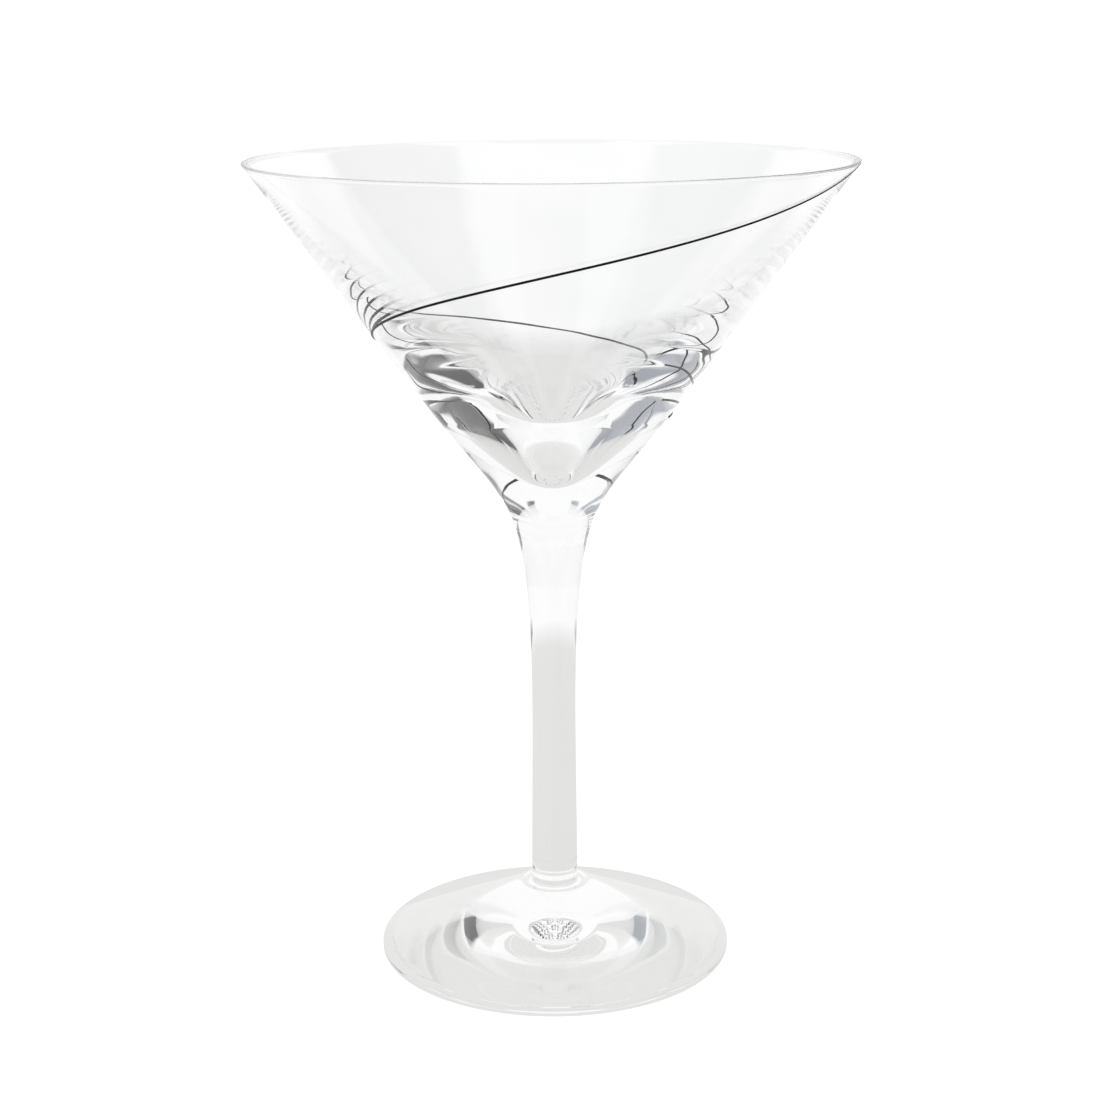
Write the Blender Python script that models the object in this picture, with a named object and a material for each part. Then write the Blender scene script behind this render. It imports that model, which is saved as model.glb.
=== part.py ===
"""A stemmed martini glass: a blown bowl, a drawn stem, a foot and a thread of dark glass laid round the bowl.

Every turned piece is one outline swept round the Z axis. Units are metres, and the foot stands on Z = 0.
"""

import math

import bpy
from mathutils import Vector
from mathutils.geometry import interpolate_bezier

# Whole glass
HEIGHT = 0.180
RIM_RADIUS = 0.0656
SIDES = 72
JOINT_GAP = 0.0003

# Bowl, outside: a straight cone that flares into the solid glass above the stem
CONE_BASE_RADIUS = 0.0257
CONE_BASE_HEIGHT = 0.1247
FLARE_TOP_HANDLE = 0.0090
FLARE_BASE_HANDLE = 0.0100

# Bowl, inside: a wall that thickens steadily downwards, then a cone with a small round tip
RIM_WALL = 0.0012
LIP_INNER_ROUNDING = 0.0004
LIP_OUTER_ROUNDING = 0.00025
WALL_TOP_HANDLE = 0.0260
WALL_BASE_RADIUS = 0.0175
WALL_BASE_HEIGHT = 0.1275
WALL_BASE_HANDLE = 0.0120
WALL_BASE_SLOPE = 1.15
CAVITY_SLOPE = 1.25
CAVITY_WALL_HANDLE = 0.0080
CAVITY_FLOOR = 0.1130
CAVITY_FLOOR_HANDLE = 0.0045

# Stem: widest where it meets the bowl, slimmest a third of the way up the glass
BOWL_JOINT_RADIUS = 0.00805
BOWL_JOINT_HEIGHT = 0.0980
BOWL_JOINT_SLOPE = 0.24
STEM_TOP_HANDLE = 0.0040
WAIST_RADIUS = 0.0049
WAIST_HEIGHT = 0.0570
WAIST_UPPER_HANDLE = 0.0300
WAIST_LOWER_HANDLE = 0.0120
FOOT_JOINT_RADIUS = 0.0052
FOOT_JOINT_HEIGHT = 0.0168

# Foot: a low cone with a round edge, with a shallow dome underneath so that it stands on a ring
FOOT_RADIUS = 0.0400
EDGE_THICKNESS = 0.0018
EDGE_ROUNDING = 0.0005
COLLAR_RADIUS = 0.0080
COLLAR_HEIGHT = 0.0151
RING_INNER_RADIUS = 0.0372
DOME_HEIGHT = 0.0045

# Thread: how far it has turned, in degrees clockwise from +X seen from above, and its height on the bowl
THREAD_RADIUS = 0.00025
THREAD_ROUTE = (
    (12, 0.1796),
    (23, 0.1767),
    (50, 0.1702),
    (90, 0.1614),
    (120, 0.1545),
    (150, 0.1473),
    (180, 0.1408),
    (205, 0.1365),
    (235, 0.1333),
    (270, 0.1303),
    (300, 0.1276),
    (330, 0.1258),
    (375, 0.1252),
)
THREAD_STEPS_PER_SPAN = 7
THREAD_BEVEL_LEVEL = 2


def clear_scene():
    for obj in list(bpy.data.objects):
        bpy.data.objects.remove(obj, do_unlink=True)


def glass(name, colour, transmission):
    material = bpy.data.materials.new(name)
    material.use_nodes = True
    shader = material.node_tree.nodes["Principled BSDF"]
    shader.inputs["Base Color"].default_value = (*colour, 1.0)
    shader.inputs["Metallic"].default_value = 0.0
    shader.inputs["Roughness"].default_value = 0.02
    shader.inputs["IOR"].default_value = 1.52
    shader.inputs["Transmission Weight"].default_value = transmission
    return material


def curve(start, start_handle, end_handle, end, count):
    """Points (radius, height) along one Bezier curve, both ends included."""
    corners = [Vector((radius, 0.0, height)) for radius, height in (start, start_handle, end_handle, end)]
    return [(point.x, point.z) for point in interpolate_bezier(*corners, count)]


def turned(name, outline, material):
    """Sweep an outline that runs down the piece's outer side round the Z axis."""
    mesh = bpy.data.meshes.new(name)
    points = [(radius, 0.0, height) for radius, height in outline]
    mesh.from_pydata(points, [(i, i + 1) for i in range(len(points) - 1)], [])
    mesh.materials.append(material)
    obj = bpy.data.objects.new(name, mesh)
    bpy.context.scene.collection.objects.link(obj)
    screw = obj.modifiers.new("turn", "SCREW")
    screw.steps = SIDES
    screw.render_steps = SIDES
    screw.use_merge_vertices = True
    screw.merge_threshold = 0.00001
    screw.use_smooth_shade = True
    return obj


def cone_slope():
    """How much the bowl's outer radius grows for each metre of height."""
    return (RIM_RADIUS - CONE_BASE_RADIUS) / (HEIGHT - CONE_BASE_HEIGHT)


def bowl():
    rim_inner = RIM_RADIUS - RIM_WALL
    rim_base = HEIGHT - LIP_INNER_ROUNDING
    cavity = curve(
        (0.0, CAVITY_FLOOR),
        (CAVITY_FLOOR_HANDLE, CAVITY_FLOOR),
        (WALL_BASE_RADIUS - CAVITY_SLOPE * CAVITY_WALL_HANDLE, WALL_BASE_HEIGHT - CAVITY_WALL_HANDLE),
        (WALL_BASE_RADIUS, WALL_BASE_HEIGHT),
        10,
    )
    wall = curve(
        (WALL_BASE_RADIUS, WALL_BASE_HEIGHT),
        (WALL_BASE_RADIUS + WALL_BASE_SLOPE * WALL_BASE_HANDLE, WALL_BASE_HEIGHT + WALL_BASE_HANDLE),
        (rim_inner - cone_slope() * WALL_TOP_HANDLE, rim_base - WALL_TOP_HANDLE),
        (rim_inner, rim_base),
        12,
    )
    rim = [
        (rim_inner + LIP_INNER_ROUNDING, HEIGHT),
        (RIM_RADIUS - LIP_OUTER_ROUNDING, HEIGHT),
        (RIM_RADIUS, HEIGHT - LIP_OUTER_ROUNDING),
    ]
    flare = curve(
        (CONE_BASE_RADIUS, CONE_BASE_HEIGHT),
        (CONE_BASE_RADIUS - cone_slope() * FLARE_TOP_HANDLE, CONE_BASE_HEIGHT - FLARE_TOP_HANDLE),
        (BOWL_JOINT_RADIUS + BOWL_JOINT_SLOPE * FLARE_BASE_HANDLE, BOWL_JOINT_HEIGHT + FLARE_BASE_HANDLE),
        (BOWL_JOINT_RADIUS, BOWL_JOINT_HEIGHT),
        12,
    )
    outline = cavity + wall[1:] + rim + flare + [(0.0, BOWL_JOINT_HEIGHT)]
    return turned("bowl", outline, glass("clear_bowl_glass", (0.98, 0.99, 0.99), 1.0))


def stem():
    top = BOWL_JOINT_HEIGHT - JOINT_GAP
    upper = curve(
        (BOWL_JOINT_RADIUS, top),
        (BOWL_JOINT_RADIUS - BOWL_JOINT_SLOPE * STEM_TOP_HANDLE, top - STEM_TOP_HANDLE),
        (WAIST_RADIUS, WAIST_HEIGHT + WAIST_UPPER_HANDLE),
        (WAIST_RADIUS, WAIST_HEIGHT),
        12,
    )
    lower = curve(
        (WAIST_RADIUS, WAIST_HEIGHT),
        (WAIST_RADIUS, WAIST_HEIGHT - WAIST_LOWER_HANDLE),
        (FOOT_JOINT_RADIUS, FOOT_JOINT_HEIGHT + WAIST_LOWER_HANDLE),
        (FOOT_JOINT_RADIUS, FOOT_JOINT_HEIGHT),
        8,
    )
    outline = [(0.0, top)] + upper + lower[1:] + [(0.0, FOOT_JOINT_HEIGHT)]
    return turned("stem", outline, glass("clear_stem_glass", (0.97, 0.98, 0.98), 1.0))


def foot():
    top = FOOT_JOINT_HEIGHT - JOINT_GAP
    collar = curve(
        (FOOT_JOINT_RADIUS, top),
        (FOOT_JOINT_RADIUS, COLLAR_HEIGHT),
        (FOOT_JOINT_RADIUS, COLLAR_HEIGHT),
        (COLLAR_RADIUS, COLLAR_HEIGHT),
        5,
    )
    edge = [
        (FOOT_RADIUS - EDGE_ROUNDING, EDGE_THICKNESS),
        (FOOT_RADIUS, EDGE_THICKNESS - EDGE_ROUNDING),
        (FOOT_RADIUS, EDGE_ROUNDING),
        (FOOT_RADIUS - EDGE_ROUNDING, 0.0),
    ]
    # These handles make the curve a parabola
    dome = curve(
        (RING_INNER_RADIUS, 0.0),
        (RING_INNER_RADIUS * 2 / 3, DOME_HEIGHT * 2 / 3),
        (RING_INNER_RADIUS / 3, DOME_HEIGHT),
        (0.0, DOME_HEIGHT),
        10,
    )
    outline = [(0.0, top)] + collar + edge + dome
    return turned("foot", outline, glass("clear_foot_glass", (0.96, 0.98, 0.97), 1.0))


def thread():
    """A round thread that follows its route just clear of the bowl's straight outer face."""
    face_angle = math.atan(cone_slope())
    standoff = JOINT_GAP + THREAD_RADIUS
    route = [Vector((turn, height, 0.0)) for turn, height in THREAD_ROUTE]
    route = [2 * route[0] - route[1]] + route + [2 * route[-1] - route[-2]]
    points = []
    for before, start, end, after in zip(route, route[1:], route[2:], route[3:]):
        # A Catmull-Rom span written as a Bezier curve
        handles = (start + (end - before) / 6, end - (after - start) / 6)
        points += interpolate_bezier(start, *handles, end, THREAD_STEPS_PER_SPAN)[:-1]
    points.append(route[-2])
    data = bpy.data.curves.new("thread", "CURVE")
    data.dimensions = "3D"
    data.bevel_depth = THREAD_RADIUS
    data.bevel_resolution = THREAD_BEVEL_LEVEL
    data.use_fill_caps = True
    spline = data.splines.new("POLY")
    spline.points.add(len(points) - 1)
    for target, (turn, height, _) in zip(spline.points, points):
        radius = RIM_RADIUS - cone_slope() * (HEIGHT - height) + standoff * math.cos(face_angle)
        angle = math.radians(-turn)
        place = (radius * math.cos(angle), radius * math.sin(angle), height - standoff * math.sin(face_angle))
        target.co = (*place, 1.0)
    data.materials.append(glass("dark_thread_glass", (0.02, 0.02, 0.022), 0.0))
    obj = bpy.data.objects.new("thread", data)
    bpy.context.scene.collection.objects.link(obj)
    return obj


clear_scene()
bowl()
stem()
foot()
thread()
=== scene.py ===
"""The looks of a stemmed martini glass: clear fused pieces and a dark thread, on a pale table in a studio.

Units are metres, and the glass stands on Z = 0 with the camera on the -Y side.
"""

import math

import bmesh
import bpy
from mathutils import Matrix, Vector, noise
from mathutils.geometry import interpolate_bezier

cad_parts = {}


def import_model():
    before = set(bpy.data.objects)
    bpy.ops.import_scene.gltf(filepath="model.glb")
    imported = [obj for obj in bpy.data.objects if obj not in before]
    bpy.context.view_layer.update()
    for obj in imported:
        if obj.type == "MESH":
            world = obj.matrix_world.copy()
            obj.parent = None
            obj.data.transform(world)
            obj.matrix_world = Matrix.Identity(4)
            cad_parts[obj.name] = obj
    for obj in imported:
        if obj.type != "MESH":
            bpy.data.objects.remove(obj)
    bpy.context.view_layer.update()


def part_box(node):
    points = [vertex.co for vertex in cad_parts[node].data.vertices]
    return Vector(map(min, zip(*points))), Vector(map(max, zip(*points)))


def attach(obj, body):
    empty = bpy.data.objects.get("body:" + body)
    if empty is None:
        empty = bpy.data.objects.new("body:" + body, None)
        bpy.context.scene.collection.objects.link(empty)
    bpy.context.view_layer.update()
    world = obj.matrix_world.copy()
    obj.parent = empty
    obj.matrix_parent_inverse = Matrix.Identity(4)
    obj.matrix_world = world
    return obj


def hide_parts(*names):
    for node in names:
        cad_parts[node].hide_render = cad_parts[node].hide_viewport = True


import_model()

BOWL_LOW, BOWL_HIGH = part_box("bowl")
STEM_LOW, STEM_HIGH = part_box("stem")
FOOT_LOW, FOOT_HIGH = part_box("foot")

# Sizes that the frame gives
HEIGHT = BOWL_HIGH[2]
RIM_RADIUS = BOWL_HIGH[0]
BOWL_JOINT_HEIGHT = BOWL_LOW[2]
BOWL_JOINT_RADIUS = STEM_HIGH[0]
FOOT_JOINT_HEIGHT = STEM_LOW[2]
FOOT_RADIUS = FOOT_HIGH[0]

# Bowl, outside, as in the CAD model
CONE_BASE_RADIUS = 0.0257
CONE_BASE_HEIGHT = 0.1247
FLARE_TOP_HANDLE = 0.0090
FLARE_BASE_HANDLE = 0.0100

# Bowl, inside, as in the CAD model
RIM_WALL = 0.0012
LIP_INNER_ROUNDING = 0.0004
LIP_OUTER_ROUNDING = 0.00025
WALL_TOP_HANDLE = 0.0260
WALL_BASE_RADIUS = 0.0175
WALL_BASE_HEIGHT = 0.1275
WALL_BASE_HANDLE = 0.0120
WALL_BASE_SLOPE = 1.15
CAVITY_SLOPE = 1.25
CAVITY_FLOOR = 0.1130
CAVITY_FLOOR_HANDLE = 0.0045
CAVITY_WALL_HANDLE = 0.0080

# Stem, as in the CAD model
BOWL_JOINT_SLOPE = 0.24
STEM_TOP_HANDLE = 0.0040
WAIST_RADIUS = 0.0049
WAIST_HEIGHT = 0.0570
WAIST_UPPER_HANDLE = 0.0300
WAIST_LOWER_HANDLE = 0.0120
FOOT_JOINT_RADIUS = 0.0052

# Foot, as in the CAD model but for a slightly smaller rounding on its edge
EDGE_THICKNESS = 0.0018
EDGE_ROUNDING = 0.0004
COLLAR_RADIUS = 0.0080
COLLAR_HEIGHT = 0.0151
RING_INNER_RADIUS = 0.0372
DOME_HEIGHT = 0.0045

# Thread: the CAD model's route, as degrees clockwise from +X seen from above, and height on the bowl
THREAD_ROUTE = (
    (12, 0.1796),
    (23, 0.1767),
    (50, 0.1702),
    (90, 0.1614),
    (120, 0.1545),
    (150, 0.1473),
    (180, 0.1408),
    (205, 0.1365),
    (235, 0.1333),
    (270, 0.1303),
    (300, 0.1276),
    (330, 0.1258),
    (375, 0.1252),
)
THREAD_RADIUS = 0.00030
THREAD_STEPS_PER_SPAN = 40
THREAD_BEVEL_LEVEL = 3

# How finely the turned pieces are drawn
SIDES = 320
SMOOTH_UNDER_ANGLE = 50
TINY = 1e-6

# Waves in the bowl's wall: waves per metre round the bowl and up it, and their depth
RIPPLE_TOP = 0.1680
RIPPLE_FADE = 0.0080
RIPPLE_RADIUS = 0.0150
RIPPLE_ROUND = 60.0
RIPPLE_RISE = 400.0
RIPPLE_DEPTH = 0.000015

# Waves in the foot's upper face: waves per metre round the foot and outwards, and their depth
FOOT_RIPPLE_ROUND = 90.0
FOOT_RIPPLE_REACH = 400.0
FOOT_RIPPLE_DEPTH = 0.00001

# Glass: its least clear tint, and how many patches of it fit in a metre along X, Y and Z
GLASS_IOR = 1.52
BOWL_PALE = (0.985, 0.990, 0.990)
BOWL_GRAIN = (60.0, 60.0, 60.0)
STEM_PALE = (0.965, 0.970, 0.967)
STEM_GRAIN = (600.0, 600.0, 14.0)
FOOT_PALE = (0.980, 0.988, 0.982)
FOOT_GRAIN = (120.0, 120.0, 120.0)
PATCH_DETAIL = 3.0
PATCH_LOW = 0.4
PATCH_HIGH = 0.6

# Dark glass of the thread
THREAD_DARK = (0.004, 0.004, 0.005, 1.0)
THREAD_PALE = (0.012, 0.012, 0.014, 1.0)
THREAD_GRAIN = (300.0, 300.0, 300.0)
THREAD_ROUGHNESS = 0.3
THREAD_SPECULAR = 0.1

# Camera: its place in glass heights, how far it looks down, and its slight lean, in degrees
CAMERA_ACROSS = -0.0007
CAMERA_BACK = 2.5809
CAMERA_UP = 1.1812
CAMERA_DIP = 14.342
CAMERA_LEAN = -0.32
CAMERA_LENS = 70.39
CAMERA_SENSOR = 36.0

# Table: seen in the glass it glows one pale grey, painted shade, that turns white far off
TABLE_HALF_WIDTH = 0.275
TABLE_HALF_DEPTH = 0.360
TABLE_FADE_START = 0.270
TABLE_FADE_END = 0.350
TABLE_SHADE_IN_GLASS = (0.78, 0.785, 0.77, 1.0)
WHITE = (1.0, 1.0, 1.0, 1.0)
BACKDROP_WHITE = (1.1, 1.1, 1.1, 1.0)

# A white studio: a grey flag on the left, a dark one on the right, and a dim room behind the camera
LEFT_FLAG = (0.36, 0.38, 0.42)
RIGHT_FLAG = (0.10, 0.10, 0.10)
DIM = 0.3

# Where they stand, by compass direction in degrees clockwise from +Y
ROOM_STOPS = (
    (-180, DIM),
    (-155, DIM),
    (-150, 1.0),
    (-114, 1.0),
    (-110, LEFT_FLAG),
    (-58, LEFT_FLAG),
    (-54, 1.0),
    (54, 1.0),
    (58, RIGHT_FLAG),
    (116, RIGHT_FLAG),
    (120, 1.0),
    (150, 1.0),
    (155, DIM),
    (180, DIM),
)

# Going up, in degrees: the room turns white near table level, then has its flags again, then a white ceiling
LEVEL_START = (-12.5, -10.5)
LEVEL_END = (6.0, 8.5)
CEILING_START = (62.0, 65.5)

# Clear glass needs many bounces, or its thick edges go black
GLASS_BOUNCES = 96
JOINT_BOUNCES = 64

# The Mix node's colour sockets share their names with its other sockets, so they go by number
MIX_FIRST = 6
MIX_SECOND = 7
MIX_RESULT = 2


def curve(start, start_handle, end_handle, end, count):
    """Points (radius, height) along one Bezier curve, both ends included."""
    corners = [Vector((radius, 0.0, height)) for radius, height in (start, start_handle, end_handle, end)]
    return [(point.x, point.z) for point in interpolate_bezier(*corners, count)]


def line(start, end, count):
    """Points on a straight line, both ends included."""
    return [
        (start[0] + (end[0] - start[0]) * i / (count - 1), start[1] + (end[1] - start[1]) * i / (count - 1))
        for i in range(count)
    ]


def arc(centre, radius, start, end, count):
    """Points on an arc, from angle start to end in degrees."""
    turns = [math.radians(start + (end - start) * i / (count - 1)) for i in range(count)]
    return [(centre[0] + radius * math.cos(t), centre[1] + radius * math.sin(t)) for t in turns]


def smooth_route(stops, count):
    """Points on a smooth curve through every stop, each span a Catmull-Rom span written as a Bezier curve."""
    stops = [Vector(stop) for stop in stops]
    stops = [2 * stops[0] - stops[1]] + stops + [2 * stops[-1] - stops[-2]]
    points = []
    for before, start, end, after in zip(stops, stops[1:], stops[2:], stops[3:]):
        handles = (start + (end - before) / 6, end - (after - start) / 6)
        points += interpolate_bezier(start, *handles, end, count)[:-1]
    return points + [stops[-2]]


def cone_slope():
    """How much the bowl's outer radius grows for each metre of height."""
    return (RIM_RADIUS - CONE_BASE_RADIUS) / (HEIGHT - CONE_BASE_HEIGHT)


def bowl_outline():
    rim_inner = RIM_RADIUS - RIM_WALL
    rim_base = HEIGHT - LIP_INNER_ROUNDING
    cavity = curve(
        (0.0, CAVITY_FLOOR),
        (CAVITY_FLOOR_HANDLE, CAVITY_FLOOR),
        (WALL_BASE_RADIUS - CAVITY_SLOPE * CAVITY_WALL_HANDLE, WALL_BASE_HEIGHT - CAVITY_WALL_HANDLE),
        (WALL_BASE_RADIUS, WALL_BASE_HEIGHT),
        count=48,
    )
    wall = curve(
        (WALL_BASE_RADIUS, WALL_BASE_HEIGHT),
        (WALL_BASE_RADIUS + WALL_BASE_SLOPE * WALL_BASE_HANDLE, WALL_BASE_HEIGHT + WALL_BASE_HANDLE),
        (rim_inner - cone_slope() * WALL_TOP_HANDLE, rim_base - WALL_TOP_HANDLE),
        (rim_inner, rim_base),
        count=96,
    )
    lip_inner = (rim_inner + LIP_INNER_ROUNDING, HEIGHT - LIP_INNER_ROUNDING)
    lip_outer = (RIM_RADIUS - LIP_OUTER_ROUNDING, HEIGHT - LIP_OUTER_ROUNDING)
    rim = arc(lip_inner, LIP_INNER_ROUNDING, start=180, end=90, count=7)
    rim += arc(lip_outer, LIP_OUTER_ROUNDING, start=90, end=-30, count=10)
    cone = line(rim[-1], (CONE_BASE_RADIUS, CONE_BASE_HEIGHT), count=40)
    flare = curve(
        (CONE_BASE_RADIUS, CONE_BASE_HEIGHT),
        (CONE_BASE_RADIUS - cone_slope() * FLARE_TOP_HANDLE, CONE_BASE_HEIGHT - FLARE_TOP_HANDLE),
        (BOWL_JOINT_RADIUS + BOWL_JOINT_SLOPE * FLARE_BASE_HANDLE, BOWL_JOINT_HEIGHT + FLARE_BASE_HANDLE),
        (BOWL_JOINT_RADIUS, BOWL_JOINT_HEIGHT),
        count=48,
    )
    return cavity + wall[1:] + rim[1:] + cone[1:] + flare[1:] + [(0.0, BOWL_JOINT_HEIGHT)]


def stem_outline():
    upper = curve(
        (BOWL_JOINT_RADIUS, BOWL_JOINT_HEIGHT),
        (BOWL_JOINT_RADIUS - BOWL_JOINT_SLOPE * STEM_TOP_HANDLE, BOWL_JOINT_HEIGHT - STEM_TOP_HANDLE),
        (WAIST_RADIUS, WAIST_HEIGHT + WAIST_UPPER_HANDLE),
        (WAIST_RADIUS, WAIST_HEIGHT),
        count=60,
    )
    lower = curve(
        (WAIST_RADIUS, WAIST_HEIGHT),
        (WAIST_RADIUS, WAIST_HEIGHT - WAIST_LOWER_HANDLE),
        (FOOT_JOINT_RADIUS, FOOT_JOINT_HEIGHT + WAIST_LOWER_HANDLE),
        (FOOT_JOINT_RADIUS, FOOT_JOINT_HEIGHT),
        count=40,
    )
    return [(0.0, BOWL_JOINT_HEIGHT)] + upper + lower[1:] + [(0.0, FOOT_JOINT_HEIGHT)]


def foot_outline():
    collar = curve(
        (FOOT_JOINT_RADIUS, FOOT_JOINT_HEIGHT),
        (FOOT_JOINT_RADIUS, COLLAR_HEIGHT),
        (FOOT_JOINT_RADIUS, COLLAR_HEIGHT),
        (COLLAR_RADIUS, COLLAR_HEIGHT),
        count=16,
    )
    edge_centre = FOOT_RADIUS - EDGE_ROUNDING
    edge = arc((edge_centre, EDGE_THICKNESS - EDGE_ROUNDING), EDGE_ROUNDING, start=65, end=0, count=8)
    edge += arc((edge_centre, EDGE_ROUNDING), EDGE_ROUNDING, start=0, end=-90, count=8)
    top_face = line(collar[-1], edge[0], count=30)
    # These handles make the curve a parabola
    dome = curve(
        (RING_INNER_RADIUS, 0.0),
        (RING_INNER_RADIUS * 2 / 3, DOME_HEIGHT * 2 / 3),
        (RING_INNER_RADIUS / 3, DOME_HEIGHT),
        (0.0, DOME_HEIGHT),
        count=40,
    )
    return [(0.0, FOOT_JOINT_HEIGHT)] + collar + top_face[1:] + edge[1:] + dome


def bowl_ripple(place):
    """The bowl's inner face, and the flare below its straight outer face, wave slightly.

    The waves are short in height and long round the bowl, and they fade out towards the rim.
    """
    cone_radius = RIM_RADIUS - cone_slope() * (HEIGHT - place.z)
    fade_up = min(1.0, max(0.0, (RIPPLE_TOP - place.z) / RIPPLE_FADE))
    depth = fade_up * min(1.0, place.xy.length / RIPPLE_RADIUS)
    if not depth or place.xy.length >= cone_radius - RIM_WALL / 2 or place.z < CAVITY_FLOOR:
        return place
    wave = noise.noise(Vector((place.x * RIPPLE_ROUND, place.y * RIPPLE_ROUND, place.z * RIPPLE_RISE)))
    return place + place.xy.normalized().to_3d() * wave * depth * RIPPLE_DEPTH


def foot_ripple(place):
    """The foot's upper face is drawn out by hand, so it waves slightly in uneven rings."""
    reach = place.xy.length
    if place.z < EDGE_THICKNESS or reach < COLLAR_RADIUS or reach > FOOT_RADIUS - EDGE_THICKNESS:
        return place
    around = place.xy * FOOT_RIPPLE_ROUND
    wave = noise.noise(Vector((around.x, around.y, reach * FOOT_RIPPLE_REACH)))
    return place + Vector((0.0, 0.0, wave * FOOT_RIPPLE_DEPTH))


def turned(name, outline, material, fused, heights, shift=None):
    """Sweep an outline round Z. Flat faces at the fused heights carry the see-through fused material."""
    mesh = bpy.data.meshes.new(name)
    bm = bmesh.new()
    rings = []
    for radius, height in outline:
        if radius < TINY:
            rings.append([bm.verts.new((0.0, 0.0, height))])
            continue
        ring = []
        for side in range(SIDES):
            angle = 2 * math.pi * side / SIDES
            place = Vector((radius * math.cos(angle), radius * math.sin(angle), height))
            if shift:
                place = shift(place)
            ring.append(bm.verts.new(place))
        rings.append(ring)
    for upper, lower in zip(rings, rings[1:]):
        flat = abs(upper[0].co.z - lower[0].co.z) < TINY
        joint = flat and any(abs(upper[0].co.z - height) < TINY for height in heights)
        for side in range(SIDES):
            after = (side + 1) % SIDES
            corners = [
                upper[side % len(upper)],
                lower[side % len(lower)],
                lower[after % len(lower)],
                upper[after % len(upper)],
            ]
            # A ring next to the axis gives triangles, so repeated corners are dropped
            face = bm.faces.new(list(dict.fromkeys(corners)))
            face.smooth = not joint
            face.material_index = int(joint)
    bmesh.ops.recalc_face_normals(bm, faces=bm.faces)
    bm.to_mesh(mesh)
    bm.free()
    mesh.materials.append(material)
    mesh.materials.append(fused)
    mesh.set_sharp_from_angle(angle=math.radians(SMOOTH_UNDER_ANGLE))
    obj = bpy.data.objects.new(name, mesh)
    bpy.context.scene.collection.objects.link(obj)
    return obj


def thread(material):
    """A round thread along its route, half sunk in the bowl's outer face."""
    data = bpy.data.curves.new("thread_line", "CURVE")
    data.dimensions = "3D"
    data.bevel_depth = THREAD_RADIUS
    data.bevel_resolution = THREAD_BEVEL_LEVEL
    data.use_fill_caps = True
    points = smooth_route([(turn, height, 0.0) for turn, height in THREAD_ROUTE], THREAD_STEPS_PER_SPAN)
    spline = data.splines.new("POLY")
    spline.points.add(len(points) - 1)
    for target, (turn, height, _) in zip(spline.points, points):
        radius = RIM_RADIUS - cone_slope() * (HEIGHT - height)
        angle = math.radians(-turn)
        target.co = (radius * math.cos(angle), radius * math.sin(angle), height, 1.0)
    data.materials.append(material)
    obj = bpy.data.objects.new("thread_line", data)
    bpy.context.scene.collection.objects.link(obj)
    return obj


def ramp_between(nodes, links, value, low, high):
    """0 below low, 1 above high, with a straight rise between them."""
    spread = nodes.new("ShaderNodeMapRange")
    spread.inputs["From Min"].default_value = low
    spread.inputs["From Max"].default_value = high
    links.new(value, spread.inputs["Value"])
    return spread.outputs[0]


def mix_colour(nodes, links, factor, first, second):
    """A colour mix whose two inputs are sockets or plain colours."""
    mix = nodes.new("ShaderNodeMix")
    mix.data_type = "RGBA"
    links.new(factor, mix.inputs["Factor"])
    for socket, colour in ((mix.inputs[MIX_FIRST], first), (mix.inputs[MIX_SECOND], second)):
        if isinstance(colour, tuple):
            socket.default_value = colour
        else:
            links.new(colour, socket)
    return mix.outputs[MIX_RESULT]


def patches(nodes, links, grain):
    """Soft-edged patches, from 0 to 1."""
    coordinates = nodes.new("ShaderNodeTexCoord")
    stretch = nodes.new("ShaderNodeMapping")
    stretch.inputs["Scale"].default_value = grain
    links.new(coordinates.outputs["Object"], stretch.inputs["Vector"])
    clouds = nodes.new("ShaderNodeTexNoise")
    clouds.inputs["Scale"].default_value = 1.0
    clouds.inputs["Detail"].default_value = PATCH_DETAIL
    links.new(stretch.outputs["Vector"], clouds.inputs["Vector"])
    return ramp_between(nodes, links, clouds.outputs["Fac"], PATCH_LOW, PATCH_HIGH)


def compass(nodes, links, separate):
    """0 to 1 round the circle, for directions from -180 to 180 degrees clockwise from +Y."""
    across = nodes.new("ShaderNodeMath")
    across.operation = "ARCTAN2"
    links.new(separate.outputs["X"], across.inputs[0])
    links.new(separate.outputs["Y"], across.inputs[1])
    return ramp_between(nodes, links, across.outputs[0], -math.pi, math.pi)


def azimuth_ramp(nodes, links, azimuth, stops):
    """A grey level for each compass direction, from -180 to 180 degrees clockwise from +Y."""
    ramp = nodes.new("ShaderNodeValToRGB")
    links.new(azimuth, ramp.inputs[0])
    elements = ramp.color_ramp.elements
    while len(elements) < len(stops):
        elements.new(0.5)
    for element, (degrees, level) in zip(elements, stops):
        element.position = (degrees + 180) / 360
        element.color = (*level, 1.0) if isinstance(level, tuple) else (level, level, level, 1.0)
    return ramp.outputs["Color"]


def glass_material(name, pale, grain):
    """Clear glass that is very slightly less clear in patches."""
    material = bpy.data.materials.new(name)
    material.use_nodes = True
    nodes = material.node_tree.nodes
    links = material.node_tree.links
    shader = nodes["Principled BSDF"]
    shader.inputs["Roughness"].default_value = 0.0
    shader.inputs["IOR"].default_value = GLASS_IOR
    shader.inputs["Transmission Weight"].default_value = 1.0
    tint = mix_colour(nodes, links, patches(nodes, links, grain), WHITE, (*pale, 1.0))
    links.new(tint, shader.inputs["Base Color"])
    return material


def thread_material():
    """Dark glass with slightly paler patches."""
    material = bpy.data.materials.new("dark_thread")
    material.use_nodes = True
    nodes = material.node_tree.nodes
    links = material.node_tree.links
    shader = nodes["Principled BSDF"]
    tint = mix_colour(nodes, links, patches(nodes, links, THREAD_GRAIN), THREAD_DARK, THREAD_PALE)
    links.new(tint, shader.inputs["Base Color"])
    shader.inputs["Roughness"].default_value = THREAD_ROUGHNESS
    shader.inputs["Specular IOR Level"].default_value = THREAD_SPECULAR
    return material


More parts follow.
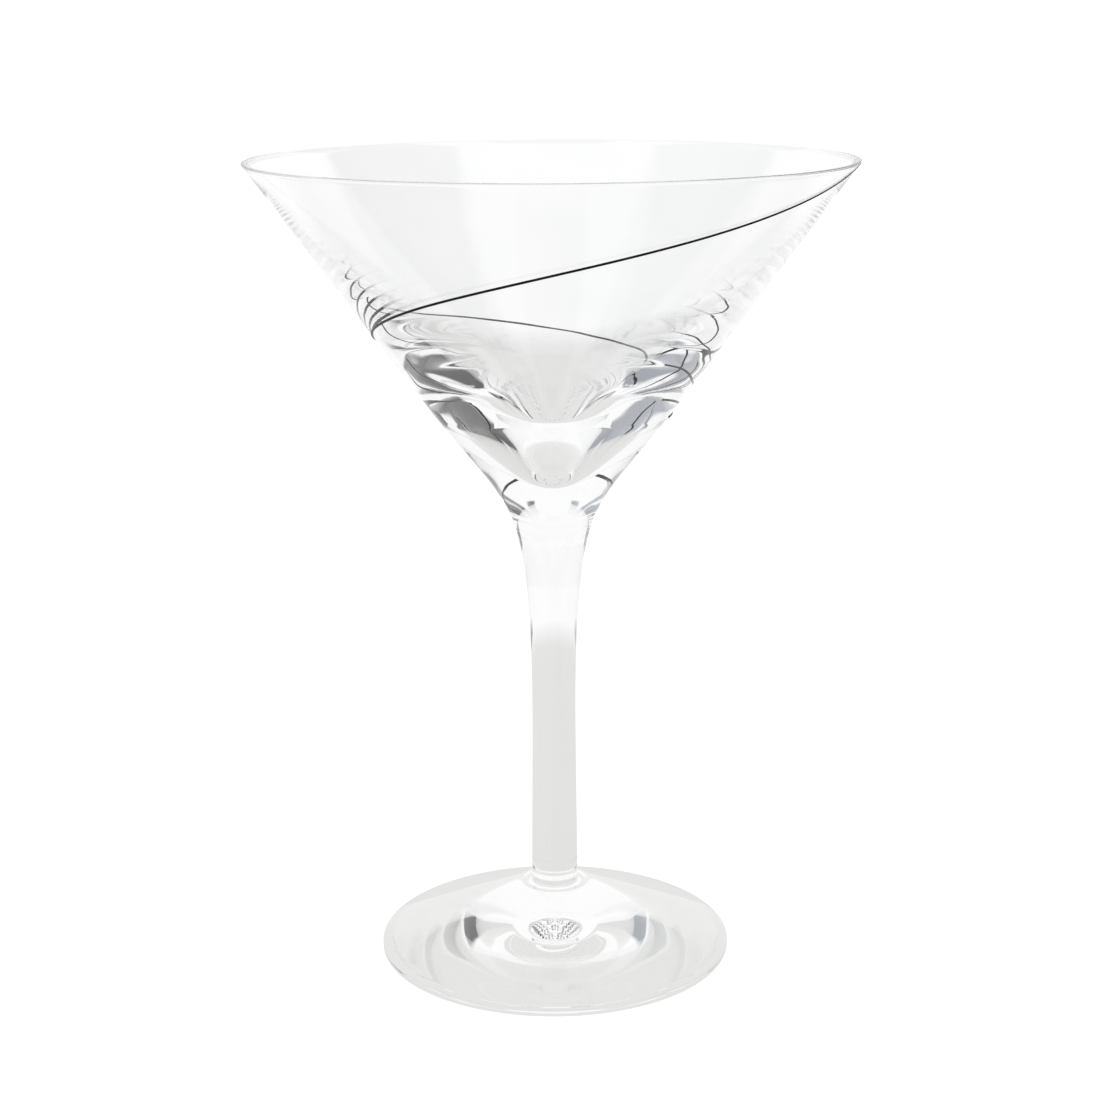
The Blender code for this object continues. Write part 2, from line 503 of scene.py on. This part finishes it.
def fused_material():
    """What stands where two pieces are fused: nothing that can be seen."""
    material = bpy.data.materials.new("fused_joint")
    material.use_nodes = True
    nodes = material.node_tree.nodes
    nodes.clear()
    clear = nodes.new("ShaderNodeBsdfTransparent")
    output = nodes.new("ShaderNodeOutputMaterial")
    material.node_tree.links.new(clear.outputs[0], output.inputs["Surface"])
    return material


def camera():
    data = bpy.data.cameras.new("camera")
    data.sensor_width = CAMERA_SENSOR
    data.lens = CAMERA_LENS
    obj = bpy.data.objects.new("camera", data)
    bpy.context.scene.collection.objects.link(obj)
    place = Matrix.Translation((CAMERA_ACROSS, -CAMERA_BACK * HEIGHT, CAMERA_UP * HEIGHT))
    tilt = Matrix.Rotation(math.radians(90 - CAMERA_DIP), 4, "X")
    lean = Matrix.Rotation(math.radians(CAMERA_LEAN), 4, "Z")
    obj.matrix_world = place @ tilt @ lean
    bpy.context.scene.camera = obj


def floor():
    """A plain table. Seen directly it is white. Seen in the glass it glows pale grey, painted shade, and
    white far off.
    """
    mesh = bpy.data.meshes.new("table_top")
    corners = [(-1, -1), (1, -1), (1, 1), (-1, 1)]
    points = [(x * TABLE_HALF_WIDTH, y * TABLE_HALF_DEPTH, 0.0) for x, y in corners]
    mesh.from_pydata(points, [], [(0, 1, 2, 3)])
    material = bpy.data.materials.new("table_white")
    material.use_nodes = True
    nodes = material.node_tree.nodes
    links = material.node_tree.links
    nodes.clear()
    glow = nodes.new("ShaderNodeEmission")
    output = nodes.new("ShaderNodeOutputMaterial")
    path = nodes.new("ShaderNodeLightPath")
    geometry = nodes.new("ShaderNodeNewGeometry")
    distance = nodes.new("ShaderNodeVectorMath")
    distance.operation = "LENGTH"
    links.new(geometry.outputs["Position"], distance.inputs[0])
    fade = ramp_between(nodes, links, distance.outputs["Value"], TABLE_FADE_START, TABLE_FADE_END)
    # Painted shade: seen in the glass the table glows pale grey near the glass and white far off
    colour = mix_colour(nodes, links, fade, TABLE_SHADE_IN_GLASS, WHITE)
    seen = mix_colour(nodes, links, path.outputs["Is Camera Ray"], colour, BACKDROP_WHITE)
    links.new(seen, glow.inputs["Color"])
    links.new(glow.outputs[0], output.inputs["Surface"])
    mesh.materials.append(material)
    obj = bpy.data.objects.new("table_top", mesh)
    bpy.context.scene.collection.objects.link(obj)


def world():
    """The studio. Seen directly it is plain white. Seen in the glass it has its flags."""
    scene_world = bpy.data.worlds.new("studio")
    bpy.context.scene.world = scene_world
    scene_world.use_nodes = True
    nodes = scene_world.node_tree.nodes
    links = scene_world.node_tree.links
    nodes.clear()
    output = nodes.new("ShaderNodeOutputWorld")
    background = nodes.new("ShaderNodeBackground")
    path = nodes.new("ShaderNodeLightPath")
    coordinates = nodes.new("ShaderNodeTexCoord")
    separate = nodes.new("ShaderNodeSeparateXYZ")
    links.new(coordinates.outputs["Generated"], separate.inputs[0])
    sides = azimuth_ramp(nodes, links, compass(nodes, links, separate), ROOM_STOPS)
    room = sides
    for rise, zone in ((LEVEL_START, WHITE), (LEVEL_END, sides), (CEILING_START, WHITE)):
        start, end = (math.sin(math.radians(angle)) for angle in rise)
        upward = ramp_between(nodes, links, separate.outputs["Z"], start, end)
        room = mix_colour(nodes, links, upward, room, zone)
    seen = mix_colour(nodes, links, path.outputs["Is Camera Ray"], room, BACKDROP_WHITE)
    links.new(seen, background.inputs["Color"])
    links.new(background.outputs[0], output.inputs[0])


def studio():
    scene = bpy.context.scene
    scene.view_settings.view_transform = "Standard"
    scene.view_settings.look = "None"
    scene.cycles.max_bounces = GLASS_BOUNCES
    scene.cycles.transmission_bounces = GLASS_BOUNCES
    scene.cycles.glossy_bounces = GLASS_BOUNCES
    scene.cycles.transparent_max_bounces = JOINT_BOUNCES


fused = fused_material()
bowl_piece = turned(
    "bowl_glass",
    bowl_outline(),
    glass_material("bowl_clear", BOWL_PALE, BOWL_GRAIN),
    fused,
    heights=(BOWL_JOINT_HEIGHT,),
    shift=bowl_ripple,
)
stem_piece = turned(
    "stem_glass",
    stem_outline(),
    glass_material("stem_clear", STEM_PALE, STEM_GRAIN),
    fused,
    heights=(BOWL_JOINT_HEIGHT, FOOT_JOINT_HEIGHT),
)
foot_piece = turned(
    "foot_glass",
    foot_outline(),
    glass_material("foot_clear", FOOT_PALE, FOOT_GRAIN),
    fused,
    heights=(FOOT_JOINT_HEIGHT,),
    shift=foot_ripple,
)
thread_piece = thread(thread_material())
pieces = ((bowl_piece, "bowl"), (stem_piece, "stem"), (foot_piece, "foot"), (thread_piece, "thread"))
for piece, node in pieces:
    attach(piece, "root")
    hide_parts(node)
camera()
floor()
world()
studio()
